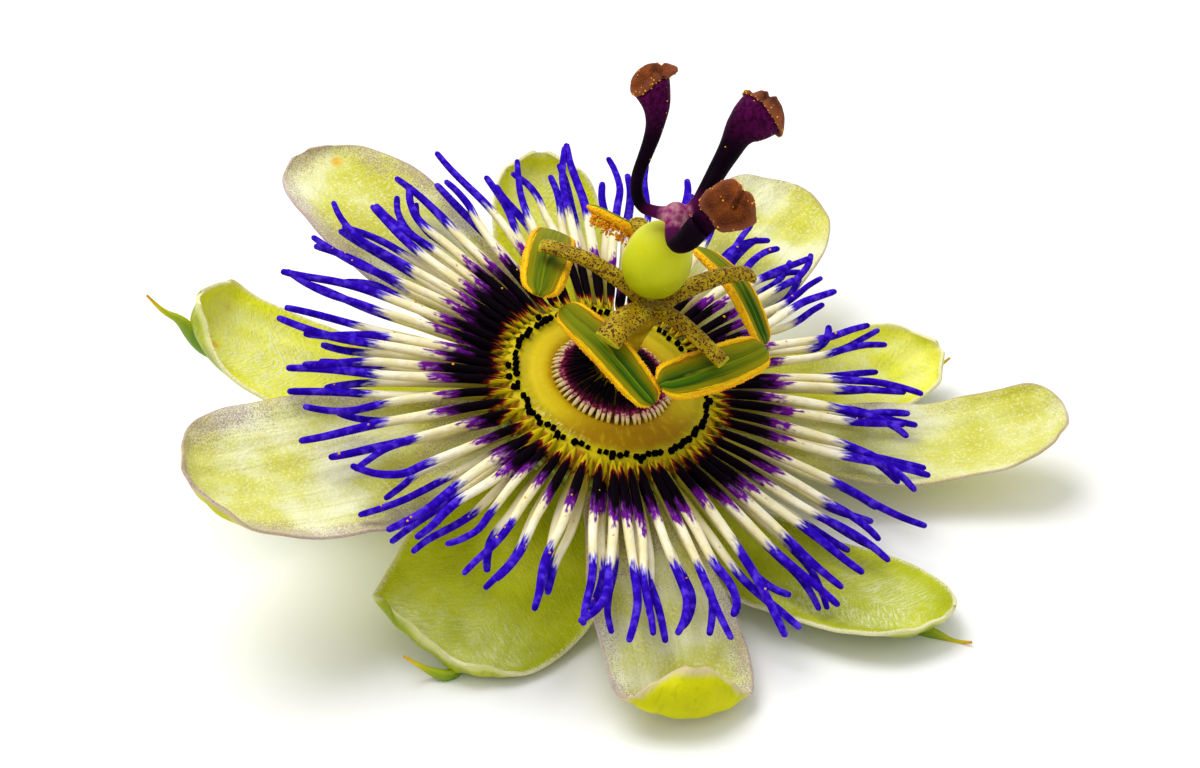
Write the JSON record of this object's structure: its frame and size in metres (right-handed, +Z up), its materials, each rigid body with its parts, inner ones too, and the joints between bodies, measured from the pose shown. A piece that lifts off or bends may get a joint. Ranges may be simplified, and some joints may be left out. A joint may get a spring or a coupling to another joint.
{
  "type": "passion flower",
  "caption": "Open blue passion flower laid on its back, with petals, sepals, a banded filament corona, stamens and styles on a central column, and a short stalk.",
  "frame": {"origin": "centre of the flower's box, on the surface that it rests on", "axes": "+Z up from the surface, +X to the right along the flower's width, +Y away from the viewer of the picture"},
  "size_m": [0.0835, 0.0698, 0.0445],
  "materials": {
    "receptacle_green": "smooth green cup and stalk",
    "disc_yellow": "smooth yellow-green disc with a ring of black dots",
    "fringe_purple": "fine teeth, cream at the base and purple-black at the tips",
    "filament_violet": "filaments banded purple-black, cream and violet-blue from the root out",
    "petal_cream": "velvety pale yellow-green with mauve specks at the rim",
    "sepal_green": "yellow-green inside with a frosted rim, darker green outside",
    "stamen_olive": "olive-yellow with dark purple-brown specks",
    "anther_green": "green with dark grooves and orange pollen along the rims",
    "ovary_green": "smooth bright yellow-green",
    "style_purple": "glossy aubergine-black",
    "stigma_brown": "granular warm brown with orange pollen"
  },
  "bodies": {
    "root": {"receptacle": "receptacle_green", "disc": "disc_yellow", "fringe": "fringe_purple", "corona_upper": "filament_violet", "corona_lower": "filament_violet", "petal_1": "petal_cream", "petal_2": "petal_cream", "petal_3": "petal_cream", "petal_4": "petal_cream", "petal_5": "petal_cream", "sepal_1": "sepal_green", "sepal_2": "sepal_green", "sepal_3": "sepal_green", "sepal_4": "sepal_green", "sepal_5": "sepal_green", "androgynophore": "stamen_olive", "anther_1": "anther_green", "anther_2": "anther_green", "anther_3": "anther_green", "anther_4": "anther_green", "anther_5": "anther_green", "ovary": "ovary_green", "styles": "style_purple", "stigma_1": "stigma_brown", "stigma_2": "stigma_brown", "stigma_3": "stigma_brown"}
  },
  "joints": []
}
